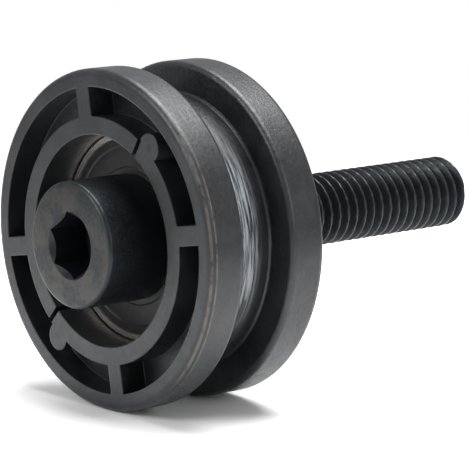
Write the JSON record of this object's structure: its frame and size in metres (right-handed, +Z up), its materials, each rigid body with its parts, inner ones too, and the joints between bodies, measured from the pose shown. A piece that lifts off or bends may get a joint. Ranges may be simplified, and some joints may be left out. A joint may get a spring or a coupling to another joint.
{
  "type": "tile saw table roller",
  "caption": "Grooved black plastic roller on a sealed ball bearing, clamped by a long black socket head cap screw that serves as its axle; it runs along a saw table's rail.",
  "frame": {"origin": "on the roller's axis, in the plane of the bearing's rear face, where the free stud begins", "axes": "+Y along the screw towards its tip, +Z up with the axis level, +X to the right seen from the screw's head"},
  "size_m": [0.035, 0.053, 0.035],
  "materials": {
    "nylon": "moulded satin",
    "bearing_steel": "ground",
    "cage_steel": "pressed",
    "seal_rubber": "moulded",
    "black_oxide": "black oxide, worn"
  },
  "bodies": {
    "axle": {"cap_screw": "black_oxide", "bearing_inner_race": "bearing_steel"},
    "roller": {"roller_wheel": "nylon", "bearing_outer_race": "bearing_steel", "front_seal": "seal_rubber", "rear_seal": "seal_rubber"},
    "cage": {"cage_front": "cage_steel", "cage_rear": "cage_steel", "cage_rivets": "cage_steel"},
    "rolling_ball_1": {"ball_1": "bearing_steel"},
    "rolling_ball_2": {"ball_2": "bearing_steel"},
    "rolling_ball_3": {"ball_3": "bearing_steel"},
    "rolling_ball_4": {"ball_4": "bearing_steel"},
    "rolling_ball_5": {"ball_5": "bearing_steel"},
    "rolling_ball_6": {"ball_6": "bearing_steel"},
    "rolling_ball_7": {"ball_7": "bearing_steel"}
  },
  "joints": [
    {"name": "roller_spin", "type": "hinge", "parent": "axle", "child": "roller", "pos_m": [0, -0.0035, 0], "axis": [0, 1, 0], "continuous": true},
    {"name": "cage_spin", "type": "hinge", "parent": "axle", "child": "cage", "pos_m": [0, -0.0035, 0], "axis": [0, 1, 0], "continuous": true},
    {"name": "ball_1_spin", "type": "hinge", "parent": "cage", "child": "rolling_ball_1", "pos_m": [0, -0.0035, 0.0075], "axis": [0, 1, 0], "continuous": true},
    {"name": "ball_2_spin", "type": "hinge", "parent": "cage", "child": "rolling_ball_2", "pos_m": [0.00586, -0.0035, 0.00468], "axis": [0, 1, 0], "continuous": true},
    {"name": "ball_3_spin", "type": "hinge", "parent": "cage", "child": "rolling_ball_3", "pos_m": [0.00731, -0.0035, -0.00167], "axis": [0, 1, 0], "continuous": true},
    {"name": "ball_4_spin", "type": "hinge", "parent": "cage", "child": "rolling_ball_4", "pos_m": [0.00325, -0.0035, -0.00676], "axis": [0, 1, 0], "continuous": true},
    {"name": "ball_5_spin", "type": "hinge", "parent": "cage", "child": "rolling_ball_5", "pos_m": [-0.00325, -0.0035, -0.00676], "axis": [0, 1, 0], "continuous": true},
    {"name": "ball_6_spin", "type": "hinge", "parent": "cage", "child": "rolling_ball_6", "pos_m": [-0.00731, -0.0035, -0.00167], "axis": [0, 1, 0], "continuous": true},
    {"name": "ball_7_spin", "type": "hinge", "parent": "cage", "child": "rolling_ball_7", "pos_m": [-0.00586, -0.0035, 0.00468], "axis": [0, 1, 0], "continuous": true}
  ],
  "couplings": [
    {"joint": "cage_spin", "follows": "roller_spin", "ratio": 0.6323},
    {"joint": "ball_1_spin", "follows": "roller_spin", "ratio": 1.7574},
    {"joint": "ball_2_spin", "follows": "roller_spin", "ratio": 1.7574},
    {"joint": "ball_3_spin", "follows": "roller_spin", "ratio": 1.7574},
    {"joint": "ball_4_spin", "follows": "roller_spin", "ratio": 1.7574},
    {"joint": "ball_5_spin", "follows": "roller_spin", "ratio": 1.7574},
    {"joint": "ball_6_spin", "follows": "roller_spin", "ratio": 1.7574},
    {"joint": "ball_7_spin", "follows": "roller_spin", "ratio": 1.7574}
  ]
}
